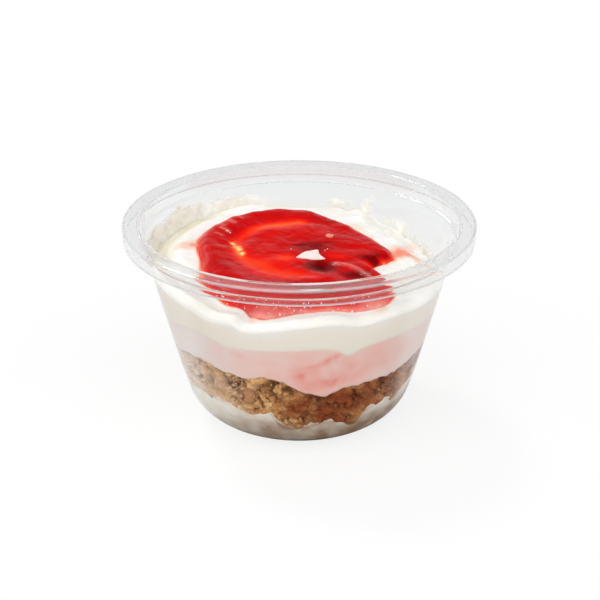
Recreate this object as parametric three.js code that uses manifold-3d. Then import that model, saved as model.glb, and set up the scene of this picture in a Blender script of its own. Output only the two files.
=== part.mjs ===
// A layered strawberry cheesecake dessert in its clear plastic cup: a floor of cream cheese, biscuit
// crumb, pink strawberry mousse, white cream cheese swirled with a spoon, and a pool of red fruit sauce.
// Millimetres, +Z up, the origin at the middle of the underside. Angles round the cup are in degrees:
// 0 is the front, -Y, and they grow towards the right, +X.
import * as THREE from 'three';
import { mergeVertices } from 'three/addons/utils/BufferGeometryUtils.js';
import Module from 'manifold-3d';

const wasm = await Module();
wasm.setup();

// Cup
const SEGMENTS = 52;
const WALL = 0.5;
const RIM_TOP = 55.9;
const RIM_RADIUS = 47.5;
const SKIRT_BOTTOM = 52.1;
const SKIRT_TAPER = 0.3;
const RIM_ROUNDING = 0.9;
const COLLAR_TOP_RADIUS = 43.1;
const COLLAR_FOOT_RADIUS = 42.5;
const LEDGE_HEIGHT = 51.2;
const LEDGE_ROUNDING = 0.3;
const BODY_TOP_RADIUS = 42.3;
const BODY_TOP = 52.1;
const BODY_TAPER = 14.1;
const BODY_BOW = 1.0;
const CORNER_RADIUS = 13.6;
const CORNER_CENTRE_RADIUS = 17.8;
const CORNER_END = 10.0;
const CORNER_STEPS = 5;
const FOOT_WIDTH = 3.2;
const PANEL_LIFT = 0.8;

// Gap kept between the contents and the cup, and between one layer and the next
const GAP = 0.3;

// Height of each boundary where it shows on the wall, as [degrees, millimetres]
const CRUMB_FOOT = [
  [-150, 13.5], [-110, 12.2], [-70, 12.9], [-56, 14.3], [-36, 13.9], [-24, 12.3], [-14, 13.4],
  [-10, 10.0], [-1, 8.6], [12, 10.5], [21, 10.3], [28, 8.3], [34, 12.0], [44, 13.5], [54, 11.8],
  [62, 14.8], [95, 13.0], [130, 11.4], [165, 14.2],
];
const MOUSSE_FOOT = [
  [-150, 24.5], [-110, 24.0], [-72, 24.3], [-51, 26.0], [-43, 26.1], [-34, 24.8], [-21, 24.2],
  [-16, 25.3], [-7, 24.1], [2, 21.2], [11, 19.2], [16, 20.8], [30, 21.9], [42, 21.8], [64, 24.0],
  [100, 25.0], [140, 23.4], [175, 25.2],
];
const CREAM_FOOT = [
  [-150, 34.2], [-110, 34.6], [-65, 33.7], [-50, 35.0], [-38, 34.6], [-30, 33.6], [-14, 34.2],
  [4, 35.1], [14, 34.6], [19.5, 32.5], [26, 33.8], [38, 34.7], [70, 34.4], [120, 35.0], [165, 34.0],
];
const CREAM_EDGE = [
  [-166, 45.6], [-150, 45.2], [-110, 44.2], [-72, 44.2], [-46, 44.9], [-36, 42.9], [-25, 41.9],
  [-19, 38.4], [-12, 40.9], [-2, 42.7], [12, 42.8], [23, 40.7], [36, 42.6], [60, 42.5], [88, 41.0],
  [114, 39.0], [133, 42.0], [147, 43.2], [153, 45.6], [159, 45.0], [180, 44.5],
];

// Heights of the boundaries in the middle of the cup, where nothing shows
const CRUMB_FOOT_MIDDLE = 12.0;
const MOUSSE_FOOT_MIDDLE = 23.5;
const CREAM_FOOT_MIDDLE = 34.2;

// Cream surface under the sauce: a shallow mound that rises to the back and to the left
const MOUND_HEIGHT = 44.3;
const MOUND_RISE_BACK = 0.075;
const MOUND_RISE_LEFT = 0.03;
const MOUND_RADIUS = 27;
const SPOON_BAND_RADIUS = 34;
const SPOON_BAND_WIDTH = 3.2;
const SPOON_BAND_DEPTH = 0.9;

// Spoon track that curls inwards through the cream and the sauce, as [x, y]
const TRACK = [
  [3, 18.2], [-6, 16.4], [-12.5, 13], [-16.6, 6.5], [-16.2, -1.5], [-11.5, -8.2], [-4, -12.8], [3, -13.4],
];
const TRACK_STEPS = 32;
const TRACK_WIDTH = 2.6;
const TRACK_RIDGE = 0.7;

// Pit where the spoon was lifted out, filled with sauce, and the tip of cream that it pulled up
const PIT = { x: 6, y: -7.4, radius: 3.6, depth: 2.8 };
const TIP = { x: 1.1, y: -3.6, length: 4.2, breadth: 2.6, height: 48.4, lean: 0.6, foot: 1 };
const TIP_PROFILE = [[1.2, 0], [1, 0.56], [0.5, 0.7], [0.24, 0.86], [0.1, 0.98]];
const TIP_SEGMENTS = 14;

// Fruit sauce: its outline as [degrees, radius], and how thick it lies
const SAUCE_OUTLINE = [
  [-175, 28.8], [-133, 29.4], [-112, 29.6], [-83, 26.8], [-57, 29.6], [-41, 31.2], [-28, 31.6],
  [-14, 33.6], [2, 31.0], [18, 30.3], [36, 34.4], [48, 32.0], [57, 29.3], [69, 21.9], [76, 20.4],
  [85, 22.8], [94, 25.8], [116, 24.0], [130, 23.6], [159, 25.4], [174, 28.4],
];
const SAUCE_THICKNESS = 2.2;
const SAUCE_EDGE_WIDTH = 2.0;
const SAUCE_TRACK_DIP = 1.1;
const SAUCE_PIT_DIP = 0.9;
const SAUCE_DEPTH = 6;

// Biscuit crumb: a core with lumps on the side that faces the wall
const CRUMB_SETBACK = 2.0;
const CRUMB_CRAG = 0.6;
const LUMP_ROWS = 3;
const LUMPS_PER_ROW = 21;
const LUMP_RADIUS = 3.0;
const LUMP_DEPTH = 0.7;
const LUMP_SPREAD = 0.3;
const LUMP_ROUGHNESS = 0.25;
const LUMP_SEED = 7;

// Places of the rings of points on each surface, as shares of its radius
const LAYER_RINGS = [0.4, 0.75, 0.93, 1];
const TOP_RINGS = [0.12, 0.24, 0.35, 0.45, 0.55, 0.65, 0.74, 0.82, 0.89, 0.95, 1];
const SAUCE_RINGS = [0.14, 0.28, 0.42, 0.55, 0.68, 0.8, 0.9, 0.97, 1];

const COLOURS = {
  cup: 0xeef1f1,
  base_cream: 0xe9e0d2,
  crumb_layer: 0xa9835c,
  pink_mousse: 0xeec4b8,
  top_cream: 0xf7f4ec,
  fruit_sauce: 0xc8120f,
};

const radians = THREE.MathUtils.degToRad;
const mix = THREE.MathUtils.lerp;
const blend = (from, to, value) => THREE.MathUtils.smoothstep(value, from, to);
const bell = (distance, width) => Math.exp(-((distance / width) ** 2));

// Smooth closed curve through [degrees, value] knots
function around(knots, degrees) {
  const sorted = [...knots].sort((a, b) => a[0] - b[0]);
  const turns = sorted.length;
  const knot = (i) => {
    const [angle, value] = sorted[(i + turns) % turns];
    return [angle + 360 * Math.floor(i / turns), value];
  };
  const start = sorted[0][0];
  const angle = ((degrees - start) % 360 + 360) % 360 + start;
  let i = 0;
  while (i + 1 < turns && knot(i + 1)[0] <= angle) i += 1;
  const [[a0, v0], [a1, v1], [a2, v2], [a3, v3]] = [knot(i - 1), knot(i), knot(i + 1), knot(i + 2)];
  const span = a2 - a1;
  const t = (angle - a1) / span;
  const slope1 = (v2 - v0) / (a2 - a0) * span;
  const slope2 = (v3 - v1) / (a3 - a1) * span;
  return (2 * t ** 3 - 3 * t ** 2 + 1) * v1 + (t ** 3 - 2 * t ** 2 + t) * slope1
    + (3 * t ** 2 - 2 * t ** 3) * v2 + (t ** 3 - t ** 2) * slope2;
}

// Radius of the surface that lies a given distance inside the cup's outer face
function bodyRadius(z, inset) {
  if (z < CORNER_END) {
    const arc = CORNER_RADIUS - inset;
    return CORNER_CENTRE_RADIUS + Math.sqrt(Math.max(arc ** 2 - (CORNER_RADIUS - z) ** 2, 0));
  }
  const t = (BODY_TOP - z) / BODY_TOP;
  return BODY_TOP_RADIUS - BODY_TAPER * t + BODY_BOW * t * (1 - t) - inset;
}
const fillRadius = (z) => bodyRadius(z, WALL + GAP);

// One side of the cup's body, from the foot to just under the ledge
function bodySide(inset, top) {
  const points = [];
  const arc = CORNER_RADIUS - inset;
  const start = -Math.PI / 2;
  const end = Math.asin((CORNER_END - CORNER_RADIUS) / arc);
  for (let i = 0; i <= CORNER_STEPS; i += 1) {
    const angle = mix(start, end, i / CORNER_STEPS);
    points.push([CORNER_CENTRE_RADIUS + arc * Math.cos(angle), CORNER_RADIUS + arc * Math.sin(angle)]);
  }
  for (const z of [23, 37, top]) points.push([bodyRadius(z, inset), z]);
  return points;
}

function makeCup() {
  const footInner = CORNER_CENTRE_RADIUS - FOOT_WIDTH;
  const skirtFoot = RIM_RADIUS - SKIRT_TAPER;
  const underside = RIM_TOP - WALL;
  const inside = [
    [0, PANEL_LIFT + WALL], [footInner - PANEL_LIFT, PANEL_LIFT + WALL], [footInner, WALL],
    ...bodySide(WALL, LEDGE_HEIGHT - LEDGE_ROUNDING),
    [BODY_TOP_RADIUS - WALL, LEDGE_HEIGHT], [COLLAR_FOOT_RADIUS - LEDGE_ROUNDING, LEDGE_HEIGHT],
    [COLLAR_FOOT_RADIUS, LEDGE_HEIGHT + LEDGE_ROUNDING],
    [COLLAR_TOP_RADIUS - LEDGE_ROUNDING, underside],
  ];
  const top = [
    [COLLAR_TOP_RADIUS, RIM_TOP], [RIM_RADIUS - RIM_ROUNDING, RIM_TOP],
    [RIM_RADIUS - RIM_ROUNDING * 0.3, RIM_TOP - RIM_ROUNDING * 0.3],
    [RIM_RADIUS, RIM_TOP - RIM_ROUNDING],
    [skirtFoot, SKIRT_BOTTOM], [skirtFoot - WALL, SKIRT_BOTTOM],
    [RIM_RADIUS - WALL, RIM_TOP - RIM_ROUNDING - WALL], [RIM_RADIUS - RIM_ROUNDING - WALL, underside],
  ];
  const outside = [
    [COLLAR_TOP_RADIUS + WALL, underside], [COLLAR_FOOT_RADIUS + WALL, LEDGE_HEIGHT],
    [COLLAR_FOOT_RADIUS, LEDGE_HEIGHT - WALL],
    ...bodySide(0, LEDGE_HEIGHT - WALL - LEDGE_ROUNDING).reverse(),
    [footInner, 0], [footInner - PANEL_LIFT, PANEL_LIFT], [0, PANEL_LIFT],
  ];
  const profile = [...inside, ...top, ...outside].reverse().map(([r, z]) => new THREE.Vector2(r, z));
  return new THREE.LatheGeometry(profile, SEGMENTS).rotateX(Math.PI / 2);
}

// Closed solid whose outline at each angle runs from the axis, over the top, down the side and back
function turned(outlineAt) {
  const outlines = [];
  for (let i = 0; i < SEGMENTS; i += 1) outlines.push(outlineAt(360 * i / SEGMENTS));
  const rows = outlines[0].length - 2;
  const positions = [0, 0, outlines[0][0][1]];
  outlines.forEach((outline, i) => {
    const angle = radians(360 * i / SEGMENTS);
    for (const [r, z] of outline.slice(1, -1)) positions.push(r * Math.sin(angle), -r * Math.cos(angle), z);
  });
  const foot = positions.length / 3;
  positions.push(0, 0, outlines[0][rows + 1][1]);
  const at = (i, row) => 1 + (i % SEGMENTS) * rows + row;
  const faces = [];
  for (let i = 0; i < SEGMENTS; i += 1) {
    faces.push(0, at(i, 0), at(i + 1, 0));
    for (let row = 0; row + 1 < rows; row += 1) {
      faces.push(at(i, row), at(i, row + 1), at(i + 1, row + 1));
      faces.push(at(i, row), at(i + 1, row + 1), at(i + 1, row));
    }
    faces.push(foot, at(i + 1, rows - 1), at(i, rows - 1));
  }
  const geometry = new THREE.BufferGeometry();
  geometry.setAttribute('position', new THREE.Float32BufferAttribute(positions, 3));
  geometry.setIndex(faces);
  return geometry;
}

// Surface between two layers, as [radius, height] points from the axis to the wall
function boundary(knots, middle, offset, degrees) {
  const edge = around(knots, degrees);
  const radius = fillRadius(edge + offset);
  const points = LAYER_RINGS.map((share) => [radius * share, mix(middle, edge, share ** 3) + offset]);
  return [[0, middle + offset], ...points];
}

// Height of a boundary over a point, on the flat facets between two neighbouring angles
function boundaryHeight(knots, middle, x, y) {
  const step = 360 / SEGMENTS;
  const place = THREE.MathUtils.radToDeg(Math.atan2(x, -y)) / step;
  const before = Math.floor(place);
  const edge = mix(around(knots, before * step), around(knots, (before + 1) * step), place - before);
  return mix(middle, edge, Math.min(Math.hypot(x, y) / fillRadius(edge), 1) ** 3);
}

// Points down the wall between the ends of two boundaries
function wallRows(upper, lower, count) {
  const rows = [];
  for (let i = 1; i <= count; i += 1) {
    const z = mix(upper, lower, i / (count + 1));
    rows.push([fillRadius(z), z]);
  }
  return rows;
}

const above = (knots, middle, degrees) => boundary(knots, middle, GAP / 2, degrees);
const below = (knots, middle, degrees) => boundary(knots, middle, -GAP / 2, degrees);

function makeBaseCream() {
  const floor = WALL + GAP;
  const footInner = CORNER_CENTRE_RADIUS - FOOT_WIDTH;
  return turned((degrees) => {
    const top = below(CRUMB_FOOT, CRUMB_FOOT_MIDDLE, degrees);
    const corner = [5.6, 3.2, 1.6].map((z) => [fillRadius(z), z]);
    return [
      ...top, ...corner, [CORNER_CENTRE_RADIUS, floor], [footInner + GAP, floor],
      [footInner - PANEL_LIFT, floor + PANEL_LIFT], [0, floor + PANEL_LIFT],
    ];
  });
}

function makeMousse() {
  return turned((degrees) => {
    const top = below(CREAM_FOOT, CREAM_FOOT_MIDDLE, degrees);
    const foot = above(MOUSSE_FOOT, MOUSSE_FOOT_MIDDLE, degrees).reverse();
    return [...top, ...wallRows(top.at(-1)[1], foot[0][1], 1), ...foot];
  });
}

// Distance from a point to the spoon's track
const track = new THREE.CatmullRomCurve3(TRACK.map(([x, y]) => new THREE.Vector3(x, y, 0)));
const trackPoints = track.getPoints(TRACK_STEPS);
function trackDistance(x, y) {
  const here = new THREE.Vector3(x, y, 0);
  const nearest = new THREE.Vector3();
  let distance = Infinity;
  for (let i = 0; i < TRACK_STEPS; i += 1) {
    new THREE.Line3(trackPoints[i], trackPoints[i + 1]).closestPointToPoint(here, true, nearest);
    distance = Math.min(distance, nearest.distanceTo(here));
  }
  return distance;
}

// Height of the cream's top surface
function creamHeight(x, y) {
  const radius = Math.hypot(x, y);
  const degrees = THREE.MathUtils.radToDeg(Math.atan2(x, -y));
  const edge = around(CREAM_EDGE, degrees);
  const mound = MOUND_HEIGHT + MOUND_RISE_BACK * y - MOUND_RISE_LEFT * x
    + TRACK_RIDGE * bell(trackDistance(x, y), TRACK_WIDTH)
    - PIT.depth * bell(Math.hypot(x - PIT.x, y - PIT.y), PIT.radius);
  const band = SPOON_BAND_DEPTH * bell(radius - SPOON_BAND_RADIUS, SPOON_BAND_WIDTH)
    * Math.max(0, -Math.sin(radians(degrees)));
  return mix(mound, edge, blend(MOUND_RADIUS, fillRadius(edge), radius)) - band;
}

// Height of the sauce's top surface
function sauceHeight(x, y, outlineRadius) {
  const inside = outlineRadius - Math.hypot(x, y);
  const swell = Math.sqrt(1 - bell(inside, SAUCE_EDGE_WIDTH));
  const dip = SAUCE_TRACK_DIP * bell(trackDistance(x, y), TRACK_WIDTH);
  const pit = (PIT.depth - SAUCE_PIT_DIP) * bell(Math.hypot(x - PIT.x, y - PIT.y), PIT.radius);
  return creamHeight(x, y) + pit + (SAUCE_THICKNESS - dip) * swell;
}

const along = (degrees, radius) => [radius * Math.sin(radians(degrees)), -radius * Math.cos(radians(degrees))];

function makeCreamBody(lift) {
  return turned((degrees) => {
    const edge = around(CREAM_EDGE, degrees);
    const radius = fillRadius(edge);
    const top = TOP_RINGS.map((share) => {
      const [x, y] = along(degrees, radius * share);
      return [radius * share, creamHeight(x, y) + lift];
    });
    const foot = above(CREAM_FOOT, CREAM_FOOT_MIDDLE, degrees).reverse();
    return [[0, creamHeight(0, 0) + lift], ...top, ...foot];
  });
}

function makeTip(grow) {
  const foot = creamHeight(TIP.x, TIP.y) - TIP.foot;
  const height = TIP.height - foot;
  const profile = [[0, 0], ...TIP_PROFILE, [0, 1]].map(([r, z]) => new THREE.Vector2(r, z));
  const shear = new THREE.Matrix4().makeShear(0, 0, 0, 0, TIP.lean, 0);
  return new THREE.LatheGeometry(profile, TIP_SEGMENTS)
    .rotateX(Math.PI / 2)
    .scale(TIP.length + grow, TIP.breadth + grow, height + grow)
    .applyMatrix4(shear)
    .translate(TIP.x, TIP.y, foot);
}

function makeSauceBody() {
  return turned((degrees) => {
    const outline = around(SAUCE_OUTLINE, degrees);
    const top = SAUCE_RINGS.map((share) => {
      const [x, y] = along(degrees, outline * share);
      return [outline * share, sauceHeight(x, y, outline)];
    });
    const middle = sauceHeight(0, 0, outline);
    const under = MOUND_HEIGHT - SAUCE_DEPTH;
    return [[0, middle], ...top, [outline, under], [0, under]];
  });
}

function crumbCore(random) {
  return turned((degrees) => {
    const top = below(MOUSSE_FOOT, MOUSSE_FOOT_MIDDLE, degrees);
    const foot = above(CRUMB_FOOT, CRUMB_FOOT_MIDDLE, degrees).reverse();
    const upper = top.at(-1)[1] - CRUMB_CRAG;
    const lower = foot[0][1] + CRUMB_CRAG;
    const craggy = ([r, z]) => [r - CRUMB_SETBACK + CRUMB_CRAG * (2 * random() - 1), z];
    const side = [[fillRadius(upper), upper], ...wallRows(upper, lower, 1), [fillRadius(lower), lower]];
    return [...top.slice(0, -1), ...side.map(craggy), ...foot.slice(1)];
  });
}

// Repeatable random numbers from 0 to 1
function makeRandom(seed) {
  let state = seed;
  return () => {
    state = (state * 1664525 + 1013904223) % 4294967296;
    return state / 4294967296;
  };
}

// One lump of crumb, pressed flat where it meets the wall or another layer
function makeLump(random, degrees, z, radius) {
  const lump = mergeVertices(bare(new THREE.IcosahedronGeometry(radius, 0)));
  lump.rotateX(6 * random()).rotateZ(6 * random());
  const [x, y] = along(degrees, fillRadius(z) - radius * LUMP_DEPTH);
  const points = lump.attributes.position;
  const point = new THREE.Vector3();
  for (let i = 0; i < points.count; i += 1) {
    point.fromBufferAttribute(points, i).multiplyScalar(1 + LUMP_ROUGHNESS * (2 * random() - 1));
    point.add(new THREE.Vector3(x, y, z));
    const low = boundaryHeight(CRUMB_FOOT, CRUMB_FOOT_MIDDLE, point.x, point.y) + GAP;
    const high = boundaryHeight(MOUSSE_FOOT, MOUSSE_FOOT_MIDDLE, point.x, point.y) - GAP;
    point.z = THREE.MathUtils.clamp(point.z, low, high);
    const shrink = Math.min(1, fillRadius(point.z) / Math.hypot(point.x, point.y));
    points.setXYZ(i, point.x * shrink, point.y * shrink, point.z);
  }
  return lump;
}

function bare(geometry) {
  geometry.deleteAttribute('normal');
  geometry.deleteAttribute('uv');
  return geometry;
}

// Closed mesh to solid and back
function toSolid(geometry) {
  const merged = mergeVertices(bare(geometry), 1e-4);
  const index = merged.index.array;
  const faces = [];
  for (let i = 0; i < index.length; i += 3) {
    const [a, b, c] = index.subarray(i, i + 3);
    if (a !== b && b !== c && c !== a) faces.push(a, b, c);
  }
  const mesh = new wasm.Mesh({
    numProp: 3,
    vertProperties: merged.attributes.position.array,
    triVerts: new Uint32Array(faces),
  });
  mesh.merge();
  return new wasm.Manifold(mesh);
}

function toGeometry(solid) {
  const pieces = solid.decompose();
  const largest = pieces.reduce((a, b) => (b.volume() > a.volume() ? b : a));
  const mesh = largest.getMesh();
  const geometry = new THREE.BufferGeometry();
  geometry.setAttribute('position', new THREE.BufferAttribute(mesh.vertProperties, 3));
  geometry.setIndex(new THREE.BufferAttribute(mesh.triVerts, 1));
  return geometry;
}

function makeCrumb() {
  const random = makeRandom(LUMP_SEED);
  let crumb = toSolid(crumbCore(random));
  for (let row = 0; row < LUMP_ROWS; row += 1) {
    for (let i = 0; i < LUMPS_PER_ROW; i += 1) {
      const degrees = 360 * (i + 0.5 * (row % 2) + 0.3 * random()) / LUMPS_PER_ROW;
      const share = (row + 0.5 + 0.3 * (random() - 0.5)) / LUMP_ROWS;
      const z = mix(around(CRUMB_FOOT, degrees), around(MOUSSE_FOOT, degrees), share);
      const radius = LUMP_RADIUS * (1 + LUMP_SPREAD * (2 * random() - 1));
      crumb = crumb.add(toSolid(makeLump(random, degrees, z, radius)));
    }
  }
  const floor = toSolid(makeBaseCream().translate(0, 0, GAP / 2));
  const ceiling = toSolid(makeMousse().translate(0, 0, -GAP / 2));
  return toGeometry(crumb.subtract(floor).subtract(ceiling));
}

function makeTopCream() {
  return toGeometry(toSolid(makeCreamBody(0)).add(toSolid(makeTip(0))));
}

function makeSauce() {
  const sauce = toSolid(makeSauceBody()).subtract(toSolid(makeCreamBody(GAP)));
  return toGeometry(sauce.subtract(toSolid(makeTip(GAP))));
}

function addNode(group, name, geometry, roughness, more = {}) {
  const material = new THREE.MeshStandardMaterial({ color: COLOURS[name], roughness, metalness: 0, ...more });
  const mesh = new THREE.Mesh(geometry, material);
  mesh.name = name;
  group.add(mesh);
}

const dessert = new THREE.Group();
addNode(dessert, 'cup', makeCup(), 0.08, { transparent: true, opacity: 0.3 });
addNode(dessert, 'base_cream', makeBaseCream(), 0.5);
addNode(dessert, 'crumb_layer', makeCrumb(), 0.9);
addNode(dessert, 'pink_mousse', makeMousse(), 0.55);
addNode(dessert, 'top_cream', makeTopCream(), 0.45);
addNode(dessert, 'fruit_sauce', makeSauce(), 0.12);

export default dessert;
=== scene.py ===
# Strawberry cheesecake in a clear plastic cup. Lengths are millimetres and angles degrees until a mesh is
# made. Angles round the cup are 0 at the front, -Y, and grow towards the right, +X.
import math

import bmesh
import bpy
import numpy as np
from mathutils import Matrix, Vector


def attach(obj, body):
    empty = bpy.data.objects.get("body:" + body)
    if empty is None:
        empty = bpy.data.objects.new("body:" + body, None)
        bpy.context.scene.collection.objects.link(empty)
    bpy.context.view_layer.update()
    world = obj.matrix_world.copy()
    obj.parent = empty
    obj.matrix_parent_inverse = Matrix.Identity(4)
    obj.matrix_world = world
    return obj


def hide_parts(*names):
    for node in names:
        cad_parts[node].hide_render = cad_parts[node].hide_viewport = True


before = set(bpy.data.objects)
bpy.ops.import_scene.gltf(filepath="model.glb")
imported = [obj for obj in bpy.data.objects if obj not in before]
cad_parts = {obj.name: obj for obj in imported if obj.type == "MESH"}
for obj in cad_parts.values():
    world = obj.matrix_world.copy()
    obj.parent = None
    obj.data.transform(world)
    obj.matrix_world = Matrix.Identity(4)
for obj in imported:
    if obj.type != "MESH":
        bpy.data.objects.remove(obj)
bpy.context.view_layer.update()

MM = 0.001
BODY = "root"

# Cup
WALL = 0.5
RIM_TOP = 55.9
RIM_RADIUS = 47.5
SKIRT_BOTTOM = 51.4
SKIRT_TAPER = 0.3
RIM_ROUNDING = 0.9
COLLAR_TOP_RADIUS = 42.8
COLLAR_FOOT_RADIUS = 42.5
LEDGE_HEIGHT = 51.2
BODY_TOP_RADIUS = 42.3
BODY_TOP = 52.1
BODY_TAPER = 14.1
BODY_BOW = 1.0
CORNER_RADIUS = 13.6
CORNER_CENTRE_RADIUS = 17.8
CORNER_END = 10.0
FOOT_WIDTH = 3.2
PANEL_LIFT = 0.8
SIDE_HEIGHTS = (16, 24, 32, 40)
SIDE_END = 1.5

# Folded edges painted whitish-grey, as painted highlight and painted shade lines: (radius, height, amount)
MILKY_EDGES = [
    (47.35, 55.6, 0.6), (47.1, 51.4, 0.6), (46.7, 51.5, 0.6), (42.6, 55.8, 0.65), (43.0, 55.6, 0.2),
    (42.3, 51.1, 0.3),
]
MILKY_WIDTH = 0.33
RIM_FOOT = BODY_TOP - 6

# Steps round the cup and rows down the wall of each mesh
CUP_STEPS = 256
LAYER_STEPS = 600
BASE_ROWS = 24
MOUSSE_ROWS = 34
CREAM_STEPS = 540
CREAM_ROWS = 22
CREAM_RINGS = 108
SAUCE_RINGS = 104
CORE_STEPS = 1120
CORE_ROWS = 74

# Heights of the layers' boundaries on the wall, as [degrees, millimetres]
CRUMB_FOOT = [
    [-150, 13.5], [-110, 12.2], [-70, 12.9], [-56, 14.3], [-36, 13.9], [-24, 12.3], [-14, 13.4],
    [-10, 10.0], [-1, 8.6], [12, 10.5], [21, 10.3], [28, 8.3], [34, 12.0], [44, 13.5], [54, 11.8],
    [62, 14.8], [95, 13.0], [130, 11.4], [165, 14.2],
]
MOUSSE_FOOT = [
    [-150, 24.5], [-110, 24.0], [-72, 24.3], [-51, 26.0], [-43, 26.1], [-34, 24.8], [-21, 24.2],
    [-16, 25.3], [-7, 24.1], [2, 21.2], [11, 19.2], [16, 20.8], [30, 21.9], [42, 21.8], [64, 24.0],
    [100, 25.0], [140, 23.4], [175, 25.2],
]
CREAM_FOOT = [
    [-150, 34.2], [-110, 34.6], [-65, 33.7], [-50, 35.0], [-38, 34.6], [-30, 33.6], [-14, 34.2], [4, 35.1],
    [14, 34.6], [19.5, 32.5], [26, 33.8], [38, 34.7], [70, 34.4], [120, 35.0], [165, 34.0],
]
CREAM_EDGE = [
    [-166, 45.8], [-150, 46.4], [-130, 46.8], [-110, 46.6], [-90, 46.0], [-72, 45.2], [-46, 44.9],
    [-36, 43.2], [-30, 43.2], [-25.5, 43.3], [-21, 41.5], [-16, 41.4], [-11, 42.3], [-2, 43.8], [10, 44.5],
    [17, 44.2], [24, 42.9], [36, 43.3], [60, 42.7], [88, 41.2], [114, 39.4], [133, 42.2], [147, 43.4],
    [153, 45.6], [159, 45.0], [180, 44.5],
]
CRUMB_FOOT_MIDDLE = 12.0
MOUSSE_FOOT_MIDDLE = 23.5
CREAM_FOOT_MIDDLE = 34.2

# Cream surface
MOUND_HEIGHT = 44.3
MOUND_RISE_BACK = 0.075
MOUND_RISE_LEFT = 0.03
MOUND_RADIUS = 27
SPOON_BAND_RADIUS = 34
SPOON_BAND_WIDTH = 3.2
SPOON_BAND_DEPTH = 0.9
TRACK = [
    [3, 18.2], [-6, 16.4], [-12.5, 13], [-16.6, 6.5], [-16.2, -1.5], [-11.5, -8.2], [-4, -12.8], [3, -13.4],
]
TRACK_WIDTH = 2.6
TRACK_RIDGE = 0.7
PIT_X, PIT_Y, PIT_RADIUS, PIT_DEPTH = 6, -7.4, 3.6, 2.8

# Sauce
SAUCE_OUTLINE = [
    [-175, 28.8], [-133, 29.4], [-112, 29.6], [-83, 26.8], [-57, 29.6], [-41, 31.2], [-28, 31.6],
    [-14, 34.0], [2, 31.0], [18, 30.6], [36, 34.6], [48, 32.0], [57, 29.3], [69, 21.9], [76, 20.4],
    [85, 22.8], [94, 25.8], [116, 24.0], [130, 23.6], [159, 25.4], [174, 28.4],
]
SAUCE_THICKNESS = 2.2
SAUCE_EDGE_WIDTH = 2.0
SAUCE_TRACK_DIP = 1.1
SAUCE_PIT_DIP = 0.9
SAUCE_EDGE_SINK = 0.08
SAUCE_UNDERSIDE = 0.4
SAUCE_UNDER_STEP = 8

SWIRL_END = [[7.6, -5.6], [10.5, -6.2], [13.4, -8.0], [16.2, -10.6], [18.4, -14], [19, -18]]

# Relief of the sauce that is too low for the solid: lines as (points, width, height) and hollows as
# (x, y, half length along x, along y, height)
SAUCE_LINES = [
    ([[10, 24], [0, 24.5], [-10, 23], [-18, 17.5], [-23, 8.5], [-24, -1], [-21, -10], [-14, -18.5],
      [-5, -23.5], [6, -24.5], [16, -22.5]], 3.4, 0.8),
    (TRACK, 2.0, -0.15),
    (SWIRL_END, 0.8, 0.5),
]
SAUCE_HOLLOWS = [(14.4, -12.6, 3.6, 2.4, -0.25)]

# Where the sauce is darker (above 0) or lighter, as (x, y, half length along x, along y, change)
# Darker is deeper sauce and painted shade in the hollow before the tip and beside its fold; lighter is
# thinner sauce and painted glow and highlight at its edges
SAUCE_TONES = [
    (12, 10, 6, 5, 0.08), (21, -3, 6, 5, 0.12), (5.4, -8.2, 4.8, 4.4, 0.33), (14.6, -12.4, 3.8, 2.4, 0.22),
    (2, -20, 14, 4.0, 0.14), (3.2, 3.2, 7.0, 4.4, 0.2), (7.0, 18.5, 5.0, 3.0, 0.08), (-20, -10, 5, 4, 0.06),
    (19.5, -2.4, 4.5, 1.6, 0.12), (-3.4, -4.2, 3.2, 2.2, -0.3), (-8.5, -6.0, 3.5, 2.5, -0.12),
    (9.5, -2.2, 3.4, 1.4, -0.16), (-27.0, -6.5, 0.8, 2.6, -0.35), (-25.6, -12, 0.8, 2.0, -0.4),
    (19.5, -5.2, 3.0, 0.9, -0.4), (23.4, -1.8, 2.0, 0.9, -0.45), (25.6, 2.8, 1.0, 1.4, -0.35),
    (24.4, -17.2, 1.2, 2.4, -0.4), (22.4, -23.6, 1.6, 2.0, -0.3), (-5.0, -12.5, 6.0, 2.4, -0.1),
    (-16, 9, 3, 4, 0.1),
]

# Thin, paler sauce over the cream, in the same form; at its front edge also a painted haze of reflected light
SAUCE_MILKY = [
    (-11, -32.3, 7.0, 3.4, 0.42), (2, -30.6, 6.0, 0.8, 0.2), (10.5, -32.2, 5.0, 2.8, 0.5),
    (20, -27.5, 4.0, 3.0, 0.5), (25, -22, 1.6, 3.0, 0.3),
]

# Painted highlights: fine pale streaks standing in for glints on the wet sauce
PALE_STREAKS = [
    ([[-22.4, 12.6], [-20.6, 11.4], [-18.8, 9.8]], 0.6, 0.36),
    ([[-21.4, 17.6], [-19.4, 16.6], [-17.2, 14.8]], 0.8, 0.3),
    ([[-18.2, 22.4], [-16, 23], [-13.6, 23]], 0.7, 0.4),
    ([[-23.6, 8.6], [-22.0, 8.2], [-20.6, 7.0]], 0.5, 0.2),
    ([[-18.8, 19.6], [-17.4, 19.8], [-15.2, 18.2]], 0.5, 0.25),
    ([[-23, 14.2], [-21.6, 14.0], [-20.2, 12.8]], 0.9, 0.22),
]

# Painted caustics: amber-yellow spots where focused light would shine through the sauce, in the same form as
# its tones
SHINING_SPOTS = [
    (-17.9, 4.4, 0.7, 0.8, 1), (-17.0, 2.6, 0.9, 0.7, 1), (-16.3, 0.9, 0.8, 0.9, 1),
    (-15.6, -1.2, 0.7, 0.9, 1),
]

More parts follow.
